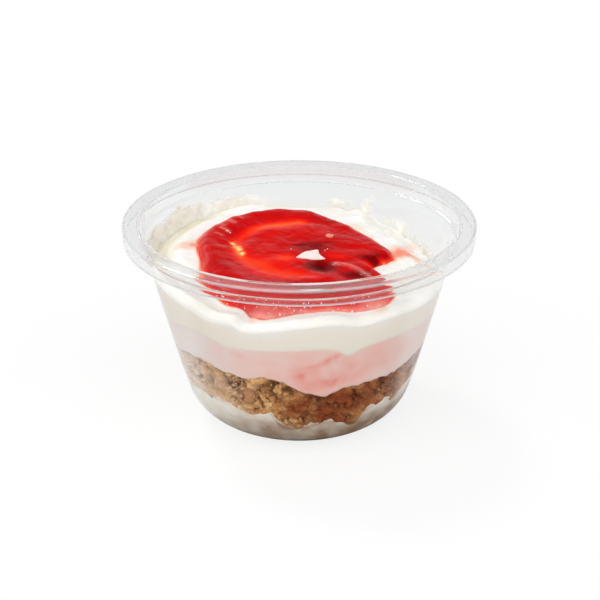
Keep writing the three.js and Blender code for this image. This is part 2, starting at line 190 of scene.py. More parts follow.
# Sauce that has bled into the cream: (points, width, strength)
BLEEDS = [
    ([[23, 2.5], [26, 4.2], [29, 5.4], [31.5, 4.4], [34, 2.4], [37, -1]], 3.0, 0.75),
    ([[27, 7], [30, 12], [33, 19]], 2.2, 0.4),
    ([[-26, 6.5], [-29, 6.2], [-33, 5]], 3.4, 0.7),
    ([[-10, -30], [-11.5, -32], [-12, -34]], 2.2, 0.3),
    ([[20, -26], [21, -29.5], [19, -32]], 2.4, 0.35),
    ([[15, 21], [18.5, 17.5], [21, 14]], 1.6, 0.2),
]

# Folds of the cream: (points, width, height)
FOLDS = [
    ([[-30, -8], [-32.5, 0], [-32.5, 8], [-29, 17], [-23, 24.5], [-14, 30]], 2.3, 0.8),
    ([[-34.5, -4], [-36, 4], [-35, 12], [-30.5, 20.5], [-24, 27.5], [-14, 33]], 1.9, -1.2),
    ([[-26, -20], [-31, -18], [-36, -14]], 2.2, 0.5),
    ([[16, 25], [19.5, 28.5], [22, 33]], 1.8, 1.5),
    ([[25, 12], [29, 15.5], [33, 18]], 1.8, 1.0),
    ([[22, 17], [27, 21], [30, 25]], 1.6, -0.8),
    ([[10, 29], [13, 33], [15, 37]], 1.6, -0.7),
    ([[27, -12], [31, -8], [33, -2]], 2.4, 0.5),
    ([[-11, -27], [-13, -30.5], [-14.6, -34], [-15.5, -38]], 1.4, -0.8),
]

# Painted shade in hollows of the cream and on slopes turned from the light: (points, width, strength)
SHADES = [
    ([[-36, -8], [-37.5, 0], [-37, 9], [-33, 18], [-27, 26], [-18, 33]], 2.8, 0.85),
    ([[-12, 35], [-2, 37], [8, 37.5]], 2.0, 0.5),
    ([[16, 27], [23, 26], [30, 21]], 1.6, 0.25),
    ([[-33, -20], [-24, -28], [-14, -35]], 2.0, 0.2),
]

# Cream smeared up the wall: (degrees, height, half width in degrees, half height, thickness)
SMEARS = [
    (-156, 47.2, 12, 1.3, 0.8), (-143, 47.6, 9, 1.2, 0.7), (-130, 48.4, 10, 1.2, 0.75),
    (-118, 48.6, 9, 1.4, 0.8), (-106, 48.0, 9, 1.6, 0.8), (-95, 47.4, 8, 1.6, 0.7),
    (-84, 46.6, 7, 1.2, 0.6), (-124, 50.2, 6, 0.6, 0.5), (151.5, 46.6, 2.6, 1.8, 0.7),
    (149, 48.9, 2.0, 0.7, 0.4), (141, 43.8, 6, 1.1, 0.4), (132, 43.1, 6, 1.5, 0.5),
    (124, 41.9, 6, 1.5, 0.5), (117, 41.1, 6, 1.4, 0.5), (110, 40.0, 6, 1.4, 0.5), (162, 46.2, 8, 0.9, 0.5),
    (172, 45.6, 10, 0.8, 0.4),
]

# Radius at which the unevenness of the boundaries is read
RAGGED_RADIUS = 34.0

# How far the contents reach into the wall, and how far one layer runs under the next
REACH = 0.15
UNDERLAP = 0.3
UNDERLAP_INSET = 0.08
CRUMB_REACH = 0.08

# Rounded edge of the cream at the wall, higher where a fold leans on the wall in front
LIP_STEPS = 8
LIP_WIDTH = 3.4
LIP_HEIGHT = 2.6
LIP_HEIGHT_LEFT = 2.4
LIP_LEFT = -44
LIP_LEFT_WIDTH = 17

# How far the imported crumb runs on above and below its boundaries
CORE_RISE = 1.1
CORE_DROP = 1.3

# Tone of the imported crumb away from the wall
CORE_TONE = 0.4

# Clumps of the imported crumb, each on the one before: (size, height, share of the tone, seed)
CLUMPS = [(6.0, 2.4, 0.5, 3), (2.3, 0.9, 0.3, 5), (1.05, 0.2, 0.15, 6)]

# Crumb lumps, placed as in the solid, whose run of numbers also gives three for each of its steps and
# fourteen for the form of each lump
SOLID_STEPS = 52
LUMP_ROWS = 3
LUMPS_PER_ROW = 21
LUMP_RADIUS = 3.0
LUMP_DEPTH = 1.16
LUMP_SPREAD = 0.3
LUMP_SEED = 7
LUMP_DRAWS_UNUSED = 14

# Loose crumb: (name, count, smallest radius, largest radius, detail, seed, deepest place, spill below)
LOOSE_CRUMB = [
    ("crumb_bits", 260, 0.5, 1.5, 3, 61, 3.0, 0.8), ("crumb_grains", 1400, 0.16, 0.5, 2, 67, 1.8, 1.0),
]

# Droplets of cream on the wall in front
SPECK_COUNT = 110
SPECK_MIDDLE = 2
SPECK_SPREAD = 17
SPECK_TOP = 50.6
SPECK_FALL = 3.4

# Grid of the smears on the wall
SMEAR_BOTTOM, SMEAR_TOP, SMEAR_ROW = 37.5, 51.0, 0.22
SMEAR_DEGREES = 0.5

# Camera
CAMERA_ELEVATION = 24.15
CAMERA_DISTANCE = 480.3
CAMERA_TARGET_HEIGHT = 32.08
CAMERA_SIDE = 0.2
CAMERA_LENS = 105.4
SENSOR_WIDTH = 36

# Key light, high up behind the cup's left
KEY_AZIMUTH = -141
KEY_ELEVATION = 50
KEY_DISTANCE = 2000
KEY_SIZE = 420
KEY_POWER = 10
KEY_BASE = 30
KEY_TARGET = 35

FLOOR_SIZE = 4000

# Brightness of the studio by elevation, as [degrees, level]: what lights the cup, what its gloss mirrors,
# each behind the cup and in front of it, and what is seen through the clear plastic
SOFT_BEHIND = [[0, 0.85], [10, 0.8], [19, 0.4], [32, 0.3], [50, 0.3], [90, 0.35]]
SOFT_IN_FRONT = [[0, 1.2], [15, 1.35], [35, 1.7], [62, 1.6], [78, 0.8], [90, 0.35]]
MIRRORED_BEHIND = [[0, 0.35], [12, 0.5], [25, 0.5], [33, 0.2], [50, 0.1], [90, 0.2]]
MIRRORED_IN_FRONT = [[0, 0.6], [15, 0.4], [35, 0.25], [60, 0.2], [90, 0.2]]
SEEN_THROUGH = [[0, 1.0], [10, 0.9], [30, 0.78], [90, 0.78]]


# Curves and surfaces

def blend(start, end, value):
    t = np.clip((value - start) / (end - start), 0, 1)
    return t * t * (3 - 2 * t)


def bell(distance, width):
    return np.exp(-(distance / width) ** 2)


def around(knots, degrees):
    """Smooth closed curve through [degrees, value] knots."""
    knots = sorted(knots)
    angles = np.array([k[0] for k in knots], float)
    values = np.array([k[1] for k in knots], float)
    a = np.concatenate([angles[-2:] - 360, angles, angles[:3] + 360])
    v = np.concatenate([values[-2:], values, values[:3]])
    at = (np.asarray(degrees, float) - angles[0]) % 360 + angles[0]
    i = np.clip(np.searchsorted(a, at, side="right") - 1, 1, len(a) - 3)
    span = a[i + 1] - a[i]
    t = (at - a[i]) / span
    slope1 = (v[i + 1] - v[i - 1]) / (a[i + 1] - a[i - 1]) * span
    slope2 = (v[i + 2] - v[i]) / (a[i + 2] - a[i]) * span
    return ((2 * t**3 - 3 * t**2 + 1) * v[i] + (t**3 - 2 * t**2 + t) * slope1
            + (3 * t**2 - 2 * t**3) * v[i + 1] + (t**3 - t**2) * slope2)


def degrees_between(degrees, other):
    return (np.asarray(degrees, float) - other + 180) % 360 - 180


def path_points(knots, steps=60):
    """Points along a smooth open curve through [x, y] knots."""
    p = np.array(knots, float)
    p = np.vstack([2 * p[0] - p[1], p, 2 * p[-1] - p[-2]])
    out = []
    for s in np.linspace(0, len(knots) - 1, steps, endpoint=True):
        i = min(int(s), len(knots) - 2)
        t = s - i
        a, b, c, d = p[i], p[i + 1], p[i + 2], p[i + 3]
        out.append(0.5 * (2 * b + (c - a) * t + (2 * a - 5 * b + 4 * c - d) * t**2
                          + (3 * b - a - 3 * c + d) * t**3))
    return np.array(out)


def path_distance(points, x, y):
    """Distance to a line of points, and how far along it the nearest place lies, from 0 to 1."""
    nearest = np.full(np.shape(x), 1e9)
    share = np.zeros(np.shape(x))
    count = len(points) - 1
    for i, (a, b) in enumerate(zip(points[:-1], points[1:])):
        step = b - a
        t = np.clip(((x - a[0]) * step[0] + (y - a[1]) * step[1]) / (step @ step), 0, 1)
        distance = np.hypot(x - a[0] - t * step[0], y - a[1] - t * step[1])
        closer = distance < nearest
        nearest = np.where(closer, distance, nearest)
        share = np.where(closer, (i + t) / count, share)
    return nearest, share


def along(degrees, radius):
    angle = np.radians(degrees)
    return radius * np.sin(angle), -radius * np.cos(angle)


def degrees_of(x, y):
    return np.degrees(np.arctan2(x, -y))


def even_degrees(count):
    return np.arange(count) * 360.0 / count


def around_axis(points):
    """Angles, radii and heights of points."""
    x, y, z = points.T
    return degrees_of(x, y), np.hypot(x, y), z


def body_radius(z, inset):
    z = np.asarray(z, float)
    arc = CORNER_RADIUS - inset
    corner = CORNER_CENTRE_RADIUS + np.sqrt(np.maximum(arc**2 - (CORNER_RADIUS - z) ** 2, 0))
    t = (BODY_TOP - z) / BODY_TOP
    side = BODY_TOP_RADIUS - BODY_TAPER * t + BODY_BOW * t * (1 - t) - inset
    return np.where(z < CORNER_END, corner, side)


def fill_radius(z):
    return body_radius(z, WALL - REACH)


# Repeatable noise

def lattice(ix, iy, iz, seed):
    h = (ix * 374761393 + iy * 668265263 + iz * 2147483647 + seed * 1274126177) & 0xFFFFFFFF
    h = ((h ^ (h >> 13)) * 1274126177) & 0xFFFFFFFF
    h = ((h ^ (h >> 16)) * 2246822519) & 0xFFFFFFFF
    return ((h ^ (h >> 15)) & 0xFFFFFF) / float(0xFFFFFF)


def noise(p, seed=0):
    """Smooth value noise from -1 to 1 at points p, one unit a cell."""
    base = np.floor(p).astype(np.int64)
    f = p - base
    w = f * f * (3 - 2 * f)
    total = 0
    for step in np.ndindex(2, 2, 2):
        corner = base + np.array(step)
        total = total + np.prod(np.abs(1 - np.array(step) - w), axis=1) * lattice(*corner.T, seed)
    return total * 2 - 1


def layered_noise(p, size, octaves=3, seed=0):
    total = 0
    weight = 1.0
    for octave in range(octaves):
        total = total + weight * noise(p / size + 17.3 * octave, seed + octave)
        weight *= 0.5
        size *= 0.5
    return total


def cells(p, size, seed=0):
    """Distance to the nearest of the points scattered one to a cell, in cells, and that point's value."""
    q = p / size
    base = np.floor(q).astype(np.int64)
    best = np.full(len(p), 9.0)
    value = np.zeros(len(p))
    for step in np.ndindex(3, 3, 3):
        cell = base + np.array(step) - 1
        jitter = np.stack([lattice(*cell.T, seed + k) for k in range(3)], 1)
        distance = np.linalg.norm(cell + jitter - q, axis=1)
        closer = distance < best
        best = np.where(closer, distance, best)
        value = np.where(closer, lattice(*cell.T, seed + 3), value)
    return best, value


def grid_points(x, y, z=0.0):
    return np.stack([np.ravel(x), np.ravel(y), np.ravel(np.broadcast_to(z, np.shape(x)))], 1)


# Cream and sauce surfaces

track_points = path_points(TRACK)


def cream_height(x, y):
    radius = np.hypot(x, y)
    degrees = degrees_of(x, y)
    edge = around(CREAM_EDGE, degrees)
    mound = (MOUND_HEIGHT + MOUND_RISE_BACK * y - MOUND_RISE_LEFT * x
             + TRACK_RIDGE * bell(path_distance(track_points, x, y)[0], TRACK_WIDTH)
             - PIT_DEPTH * bell(np.hypot(x - PIT_X, y - PIT_Y), PIT_RADIUS))
    band = (SPOON_BAND_DEPTH * bell(radius - SPOON_BAND_RADIUS, SPOON_BAND_WIDTH)
            * np.maximum(0, -np.sin(np.radians(degrees))))
    share = blend(MOUND_RADIUS, fill_radius(edge), radius)
    return mound * (1 - share) + edge * share - band


def sauce_thickness(x, y):
    radius = np.hypot(x, y)
    inside = around(SAUCE_OUTLINE, degrees_of(x, y)) - radius
    swell = np.sqrt(np.maximum(1 - bell(inside, SAUCE_EDGE_WIDTH), 0))
    swell = np.where(inside > 0, swell, 0)
    dip = SAUCE_TRACK_DIP * bell(path_distance(track_points, x, y)[0], TRACK_WIDTH)
    pit = (PIT_DEPTH - SAUCE_PIT_DIP) * bell(np.hypot(x - PIT_X, y - PIT_Y), PIT_RADIUS)
    return (SAUCE_THICKNESS - dip) * swell + pit * swell


def spots(x, y, places):
    """Sum of smooth spots given as (x, y, half length along x, along y, amount)."""
    total = np.zeros(np.shape(x))
    for at_x, at_y, long, wide, amount in places:
        total = total + amount * np.exp(-((x - at_x) / long) ** 2 - ((y - at_y) / wide) ** 2)
    return total


def strokes(x, y, lines):
    """Sum of lines given as (points, width, height), thinning out at their ends."""
    total = np.zeros(np.shape(x))
    for knots, width, height in lines:
        distance, share = path_distance(path_points(knots, 30), x, y)
        total = total + height * bell(distance, width) * blend(0, 0.2, share) * blend(0, 0.2, 1 - share)
    return total


def unevenness(x, y, size, octaves, seed, z=0.0):
    """Layered noise over a surface, in the form of x."""
    return layered_noise(grid_points(x, y, z), size, octaves, seed).reshape(np.shape(x))


def ragged(knots, degrees, amount, size, seed):
    """Boundary heights with unevenness of a given size along the wall."""
    return around(knots, degrees) + amount * unevenness(*along(degrees, RAGGED_RADIUS), size, 3, seed)


# Meshes

def add_object(name, data):
    added = bpy.data.objects.new(name, data)
    bpy.context.scene.collection.objects.link(added)
    return added


def add_piece(name, points, faces, material, node=None, slot=None, smooth=True, **attributes):
    """Makes a mesh piece from points in millimetres, hides the solid it replaces and hangs it on the body."""
    mesh = bpy.data.meshes.new(name)
    mesh.from_pydata((np.asarray(points) * MM).tolist(), [], faces)
    mesh.validate()
    mesh.shade_smooth() if smooth else mesh.shade_flat()
    for key, values in attributes.items():
        layer = mesh.attributes.new(key, "FLOAT", "POINT")
        layer.data.foreach_set("value", np.broadcast_to(values, len(points)).astype(np.float32))
    mesh.materials.append(material)
    piece = add_object(name, mesh)
    if slot:
        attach(piece, BODY)
    if node:
        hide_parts(node)
    return piece


def turned(*parts):
    """Closed solid from outlines at even angles that start and end on the axis, in (radii, heights) parts."""
    radii, heights = (np.hstack(rows) for rows in zip(*parts))
    count, rows = radii.shape
    inner = rows - 2
    x, y = along(even_degrees(count)[:, None], radii[:, 1:-1])
    ends = [[0, 0, heights[0, 0]], [0, 0, heights[0, -1]]]
    points = np.vstack([ends[:1], grid_points(x, y, heights[:, 1:-1]), ends[1:]])
    first = 1 + np.arange(count) * inner
    after = np.roll(first, -1)
    here, there = (start[:, None] + np.arange(inner - 1) for start in (first, after))
    quads = np.stack([here, here + 1, there + 1, there], -1).reshape(-1, 4).tolist()
    sides = list(zip(first.tolist(), after.tolist()))
    last = len(points) - 1
    return points, (quads + [[0, a, b] for a, b in sides]
                    + [[last, b + inner - 1, a + inner - 1] for a, b in sides])


def inward(part):
    """The same (radii, heights), from the wall to the axis."""
    return part[0][:, ::-1], part[1][:, ::-1]


def layer_surface(edge, middle, shares, inset=0.0):
    """Radii and heights of a boundary between layers, from the axis to its edge on the wall."""
    edge = edge[:, None]
    radius = fill_radius(edge) - inset
    shares = np.asarray(shares)[None, :]
    return radius * shares, middle + (edge - middle) * shares**3


def wall_rows(upper, lower, count):
    """Radii and heights down the wall between two heights, ends left out."""
    shares = np.arange(1, count + 1)[None, :] / (count + 1)
    z = upper[:, None] * (1 - shares) + lower[:, None] * shares
    return fill_radius(z), z


# Materials

def srgb(red, green, blue):
    channels = np.array([red, green, blue]) / 255.0
    linear = np.where(channels <= 0.04045, channels / 12.92, ((channels + 0.055) / 1.055) ** 2.4)
    return (*linear.tolist(), 1.0)


def as_colour(value):
    return srgb(*value) if isinstance(value, tuple) and len(value) == 3 else value


class Nodes:
    """Short calls for the nodes of a material or a world."""

    def __init__(self, tree):
        self.tree = tree

    def set(self, node, values):
        """Gives inputs, by name or number, a value or the output of another node."""
        for key, value in values.items():
            if isinstance(key, str) and key not in node.inputs:
                key = key.replace("_", " ")
            if isinstance(value, bpy.types.NodeSocket):
                self.tree.links.new(value, node.inputs[key])
            else:
                node.inputs[key].default_value = value

    def add(self, kind, settings=None, **values):
        node = self.tree.nodes.new("ShaderNode" + kind)
        for key, value in (settings or {}).items():
            setattr(node, key, value)
        self.set(node, values)
        return node

    def ramp(self, factor, stops, interpolation="EASE"):
        node = self.add("ValToRGB", Fac=factor)
        node.color_ramp.interpolation = interpolation
        while len(node.color_ramp.elements) < len(stops):
            node.color_ramp.elements.new(0.5)
        for element, (position, colour) in zip(node.color_ramp.elements, stops):
            element.position = position
            element.color = as_colour(colour)
        return node.outputs["Color"]

    def mix(self, factor, a, b, blend_type="MIX"):
        node = self.add("Mix", {"data_type": "RGBA", "blend_type": blend_type})
        self.set(node, {0: factor, 6: as_colour(a), 7: as_colour(b)})
        return node.outputs[2]

    def math(self, operation, *values):
        node = self.add("Math", {"operation": operation})
        self.set(node, dict(enumerate(values)))
        return node.outputs[0]

    def map(self, value, low, high, to_low=0.0, to_high=1.0):
        return self.add("MapRange", {"interpolation_type": "SMOOTHSTEP"}, Value=value, From_Min=low,
                        From_Max=high, To_Min=to_low, To_Max=to_high).outputs["Result"]

    def caught(self, rays):
        """1 for a ray that was mirrored twice or more, as inside the plastic's edges."""
        return self.map(rays["Glossy Depth"], 1.4, 1.6)

    def seen_through(self, rays):
        """1 for a ray that came straight through clear plastic, without being mirrored."""
        straight = self.map(rays["Glossy Depth"], 0.4, 0.6, 1.0, 0.0)
        return self.math("MULTIPLY", rays["Is Transmission Ray"], straight)


class Shader(Nodes):
    """A material with a Principled shader, and short calls for its patterns."""

    def __init__(self, name, **values):
        self.material = bpy.data.materials.new(name)
        self.material.use_nodes = True
        super().__init__(self.material.node_tree)
        self.principled = self.tree.nodes["Principled BSDF"]
        self.put(**values)

    def put(self, **values):
        """Sets inputs of the Principled shader."""
        self.set(self.principled, values)

    def attribute(self, name):
        return self.add("Attribute", {"attribute_name": name}).outputs["Fac"]

    def place(self):
        return self.add("TexCoord").outputs["Object"]

    def texture(self, kind, size, **values):
        return self.add(kind, Vector=self.place(), Scale=1 / (size * MM), **values)

    def noise(self, size, detail=3, roughness=0.5):
        return self.texture("TexNoise", size, Detail=detail, Roughness=roughness).outputs["Fac"]

    def voronoi(self, size):
        return self.texture("TexVoronoi", size).outputs["Distance"]

    def tint(self, name, colour, other):
        """A colour that turns to another where the mesh's attribute of that name grows to 1."""
        return self.mix(self.attribute(name), colour, other)

    def bump(self, height, depth):
        """Bump of a height from 0 to 1 that stands for a depth in millimetres."""
        node = self.add("Bump", Height=height, Distance=depth * MM)
        for link in self.principled.inputs["Normal"].links:
            self.set(node, {"Normal": link.from_socket})
        self.put(Normal=node.outputs["Normal"])

    def mix_shader(self, factor, a, b):
        node = self.add("MixShader", Fac=factor)
        self.set(node, {1: a, 2: b})
        return node.outputs[0]

    def finish(self, surface):
        self.set(self.tree.nodes["Material Output"], {"Surface": surface})


def plastic_material():
    """Clear thermoformed sheet, faintly wavy, with folded edges painted whitish-grey as highlight and shade
    lines.
    """
    shader = Shader("clear_plastic", Roughness=0.0, IOR=1.4)
    shader.put(Transmission_Weight=shader.attribute("clear"))
    # Painted highlight and shade lines: less clear, grey-white plastic where the clear attribute falls at the
    # folds
    shader.put(Base_Color=shader.tint("clear", (198, 201, 206), (251, 252, 252)))
    shader.bump(shader.noise(9, detail=2), 0.03)
    clear = shader.add("BsdfTransparent", Color=srgb(253, 253, 253)).outputs[0]
    rays = shader.add("LightPath").outputs
    solid = shader.mix_shader(rays["Is Shadow Ray"], shader.principled.outputs[0], clear)
    shader.finish(shader.mix_shader(shader.caught(rays), solid, clear))
    return shader.material


def cream_material():
    shader = Shader("cream", Roughness=0.4, Subsurface_Weight=0.35, Subsurface_Scale=1.4 * MM,
                    Subsurface_Radius=(1.0, 0.85, 0.7))
    mottled = shader.ramp(shader.noise(6), [(0.3, (252, 248, 238)), (0.7, (254, 252, 247))])
    pressed = shader.tint("pressed", mottled, (255, 244, 231))
    # Painted shade: duller beige where the shade attribute grows
    warm = shader.tint("shade", pressed, (228, 218, 190))
    blush = shader.ramp(shader.attribute("blush"), [
        (0.0, (255, 255, 255)), (0.3, (255, 218, 204)), (0.6, (255, 160, 135)), (1.0, (248, 96, 66)),
    ])
    shader.put(Base_Color=shader.mix(1.0, warm, blush, "MULTIPLY"))
    shader.bump(shader.noise(1.6, detail=4), 0.10)
    shader.bump(shader.noise(0.45, detail=2), 0.03)
    return shader.material


def mousse_material():
    shader = Shader("mousse", Roughness=0.55, Subsurface_Weight=0.4, Subsurface_Scale=1.4 * MM,
                    Subsurface_Radius=(1.0, 0.6, 0.5))
    mottled = shader.ramp(shader.noise(7, detail=4), [(0.35, (250, 213, 205)), (0.65, (251, 202, 192))])
    pale = shader.tint("pale", mottled, (252, 236, 233))
    streaked = shader.tint("streak", pale, (244, 138, 120))
    near_cream = shader.map(shader.attribute("below"), 0.0, 1.2, 0.3, 0.0)
    shader.put(Base_Color=shader.mix(near_cream, streaked, (252, 234, 222)))
    shader.bump(shader.voronoi(0.7), 0.05)
    return shader.material


def base_cream_material():
    shader = Shader("base_cream", Roughness=0.5, Subsurface_Weight=0.4, Subsurface_Scale=1.4 * MM,
                    Subsurface_Radius=(1.0, 0.8, 0.6))
    mottled = shader.ramp(shader.noise(3, detail=5), [(0.35, (248, 241, 230)), (0.65, (255, 252, 245))])
    # Brown next to the crumb and as painted shade low down
    shader.put(Base_Color=shader.tint("soaked", mottled, (142, 102, 62)))
    shader.bump(shader.noise(0.9, detail=4), 0.08)
    return shader.material


def crumb_material():
    shader = Shader("crumb", Roughness=0.8, Subsurface_Weight=0.1, Subsurface_Scale=0.6 * MM)
    grain = shader.ramp(shader.noise(0.9, detail=7, roughness=0.75), [
        (0.36, (200, 150, 96)), (0.5, (238, 198, 146)), (0.63, (255, 233, 196)),
    ])
    tone = shader.ramp(shader.attribute("tone"), [
        (0.0, (178, 138, 94)), (0.5, (232, 206, 170)), (1.0, (255, 250, 236)),
    ])
    toned = shader.mix(1.0, grain, tone, "MULTIPLY")
    # Browner from the middle to the right
    moist = shader.mix(shader.attribute("moist"), toned, (168, 106, 34), "MULTIPLY")
    # Painted haze, paler on the left
    floury = shader.tint("floury", moist, (232, 212, 194))
    # Painted shade: dark brown in the recesses
    shader.put(Base_Color=shader.tint("deep", floury, (92, 46, 14)))
    shader.bump(shader.voronoi(0.5), 0.06)
    shader.bump(shader.noise(0.3, detail=4), 0.05)
    return shader.material


def sauce_material():
    """Wet fruit sauce: orange where it lies thin over the cream, dark red where it is deep; its depth also
    holds painted shade and glow.
    """
    shader = Shader("sauce", Roughness=0.4, IOR=1.36, Specular_IOR_Level=0.05, Subsurface_Weight=0.4,
                    Subsurface_Scale=1.8 * MM, Subsurface_Radius=(1.0, 0.2, 0.1), Coat_Roughness=0.05,
                    Coat_IOR=1.38)
    depth = shader.attribute("depth")
    colour = shader.ramp(shader.math("MULTIPLY_ADD", shader.noise(2.5, detail=4), 0.12, depth), [
        (0.0, (255, 150, 80)), (0.16, (255, 102, 44)), (0.36, (248, 56, 24)), (0.56, (232, 18, 8)),
        (0.72, (200, 5, 6)), (0.88, (126, 0, 3)), (1.0, (80, 0, 4)),
    ])
    shader.put(Coat_Weight=shader.map(depth, 0.72, 0.9, 0.4, 0.0))
    # Paler tint for thin sauce, which also carries painted haze and painted highlight streaks
    milky = shader.tint("milky", colour, (250, 176, 164))
    # Painted caustic glow
    shader.put(Base_Color=shader.tint("shining", milky, (255, 240, 150)))
    shader.bump(shader.noise(1.1, detail=3), 0.03)
    return shader.material


def seed_material():
    shader = Shader("seed", Roughness=0.5)
    shader.put(Base_Color=shader.ramp(shader.noise(0.4), [(0.3, (60, 38, 14)), (0.7, (112, 84, 34))]))
    return shader.material


def smear_material():
    """Cream so thin that the wall shows through where it thins out."""
    shader = Shader("smear", Roughness=0.45)
    shader.put(Base_Color=shader.ramp(shader.noise(3.5, detail=5), [
        (0.36, (236, 234, 220)), (0.5, (245, 244, 234)), (0.62, (252, 252, 246)),
    ]))
    shader.put(Alpha=shader.map(shader.attribute("cover"), 0.02, 0.5, 0.0, 0.85))
    shader.bump(shader.noise(1.6, detail=2), 0.03)
    return shader.material


def floor_material():
    """White paper as it is seen; in what it throws back, darker near the cup and in front of it as a painted
    shadow of the cup.
    """
    shader = Shader("floor", Roughness=0.9)
    rays = shader.add("LightPath").outputs
    place = shader.place()
    away = shader.add("VectorMath", {"operation": "LENGTH"}, Vector=place).outputs["Value"]
    behind = shader.map(shader.add("SeparateXYZ", Vector=place).outputs["Y"], -25 * MM, 0.0)
    # Painted shadow of the cup, seen only in what the floor throws back
    mirrored = shader.mix(shader.map(away, 52 * MM, 85 * MM), (84, 80, 74), (150, 148, 146))
    mirrored = shader.mix(behind, mirrored, (240, 240, 240))
    shader.put(Base_Color=shader.mix(rays["Is Glossy Ray"], (188, 185, 180), mirrored))
    paper = shader.add("BsdfDiffuse", Color=srgb(250, 250, 250)).outputs[0]
    lit, dimmed = (shader.mix_shader(0.8, paper, shader.add("Emission", Strength=strength).outputs[0])
                   for strength in (1.0, 0.86))
    through = shader.mix_shader(shader.seen_through(rays), shader.principled.outputs[0], dimmed)
    through = shader.mix_shader(shader.caught(rays), through, dimmed)
    shader.finish(shader.mix_shader(rays["Is Camera Ray"], through, lit))
    return shader.material


# Cup

def rounded(corners, steps=5):
    """Outline through (radius, height, rounding) corners, each turned into an arc."""
    points = []
    for i, (r, z, rounding) in enumerate(corners):
        here = np.array([r, z], float)
        if rounding == 0 or i in (0, len(corners) - 1):
            points.append(here)
            continue
        sides = [np.array(corners[j][:2], float) - here for j in (i - 1, i + 1)]
        lengths = [np.linalg.norm(side) for side in sides]
        reach = min(rounding, *(length * 0.49 for length in lengths))
        start, end = (here + side / length * reach for side, length in zip(sides, lengths))
        for t in np.linspace(0, 1, steps):
            points.append((1 - t) ** 2 * start + 2 * t * (1 - t) * here + t**2 * end)
    return points


def near_corners(outline, reach):
    """The outline with points added near both ends of its long parts at the rim."""
    out = [outline[0]]
    for start, end in zip(outline[:-1], outline[1:]):
        length = np.linalg.norm(np.subtract(end, start))
        if length > 3 * reach and min(start[1], end[1]) > RIM_FOOT:
            step = np.subtract(end, start) / length
            out += [start + step * reach * share for share in (0.7, 1.4)]
            out += [end - step * reach * share for share in (1.4, 0.7)]
        out.append(end)
    return out


def body_side(inset, top):
    arc = CORNER_RADIUS - inset
    angles = np.linspace(-math.pi / 2, math.asin((CORNER_END - CORNER_RADIUS) / arc), 14)
    corner = [(CORNER_CENTRE_RADIUS + arc * math.cos(a), CORNER_RADIUS + arc * math.sin(a), 0)
              for a in angles]
    return corner + [(float(body_radius(z, inset)), z, 0) for z in (*SIDE_HEIGHTS, top)]


def make_cup():
    foot = CORNER_CENTRE_RADIUS - FOOT_WIDTH
    skirt = RIM_RADIUS - SKIRT_TAPER
    under = RIM_TOP - WALL
    inside = [
        (0, PANEL_LIFT + WALL, 0), (foot - PANEL_LIFT, PANEL_LIFT + WALL, 0.3), (foot, WALL, 0.3),
        *body_side(WALL, LEDGE_HEIGHT - SIDE_END), (BODY_TOP_RADIUS - WALL - 0.15, LEDGE_HEIGHT, 0.35),
        (COLLAR_FOOT_RADIUS, LEDGE_HEIGHT, 0.4),
    ]
    top = [
        (COLLAR_TOP_RADIUS - 0.1, RIM_TOP, 0.5), (RIM_RADIUS, RIM_TOP, RIM_ROUNDING),
        (skirt, SKIRT_BOTTOM, 0.18), (skirt - WALL, SKIRT_BOTTOM, 0.18),
        (RIM_RADIUS - WALL, under, RIM_ROUNDING - 0.2), (COLLAR_TOP_RADIUS + WALL, under, 0.4),
    ]
    outside = [
        (COLLAR_FOOT_RADIUS + WALL, LEDGE_HEIGHT - WALL, 0.5),
        (BODY_TOP_RADIUS - 0.1, LEDGE_HEIGHT - WALL, 0.3),
        *body_side(0, LEDGE_HEIGHT - WALL - SIDE_END)[::-1],
        (foot, 0, 0.3), (foot - PANEL_LIFT, PANEL_LIFT, 0.3), (0, PANEL_LIFT, 0),
    ]
    profile = np.array(near_corners(rounded(inside + top + outside), MILKY_WIDTH))
    points, faces = turned([np.tile(values, (CUP_STEPS, 1)) for values in profile.T])
    _, radius, height = around_axis(points)
    # Painted highlight and shade lines round the folded edges
    milky = np.zeros(len(points))
    for r, z, amount in MILKY_EDGES:
        milky = np.maximum(milky, amount * bell(np.hypot(radius - r, height - z), MILKY_WIDTH))
    cup = add_piece("clear_cup", points, faces, plastic_material(), "cup", "clear_plastic", clear=1 - milky)
    cup.visible_diffuse = False


# Layers

def make_base_cream(material):
    degrees = even_degrees(LAYER_STEPS)
    shares = np.concatenate([np.linspace(0, 0.8, 5), np.linspace(0.84, 1, 14)])
    edge = ragged(CRUMB_FOOT, degrees, 1.1, 2.8, 71)
    floor = WALL - REACH
    foot = CORNER_CENTRE_RADIUS - FOOT_WIDTH
    tail = np.array([(CORNER_CENTRE_RADIUS, floor), (foot, floor), (foot - PANEL_LIFT, floor + PANEL_LIFT),
                     (0, floor + PANEL_LIFT)])
    points, faces = turned(layer_surface(edge, CRUMB_FOOT_MIDDLE, shares),
                           wall_rows(edge, np.full(LAYER_STEPS, floor + 0.02), BASE_ROWS),
                           [np.tile(values, (LAYER_STEPS, 1)) for values in tail.T])
    angle, _, z = around_axis(points)
    # Painted shade: browner low down from the front round to the right, where the floor lies in the cup's
    # shadow; also browner next to the crumb
    low_down = 0.72 * (1 - blend(6.5, 15, z)) * blend(-62, -15, angle) * blend(-175, -120, -angle)
    towards_right = 0.14 * blend(-25, 45, angle) * blend(-150, -110, -angle) * (1 - blend(4, 16, z))
    near_crumb = 0.3 * bell(around(CRUMB_FOOT, angle) - z, 0.6)
    soaked = (low_down + towards_right + near_crumb) * (0.95 + 0.25 * layered_noise(points, 3, 3, 73))
    add_piece("base_cream_fill", points, faces, material, "base_cream", "cream_base",
              soaked=np.clip(soaked, 0, 0.9))


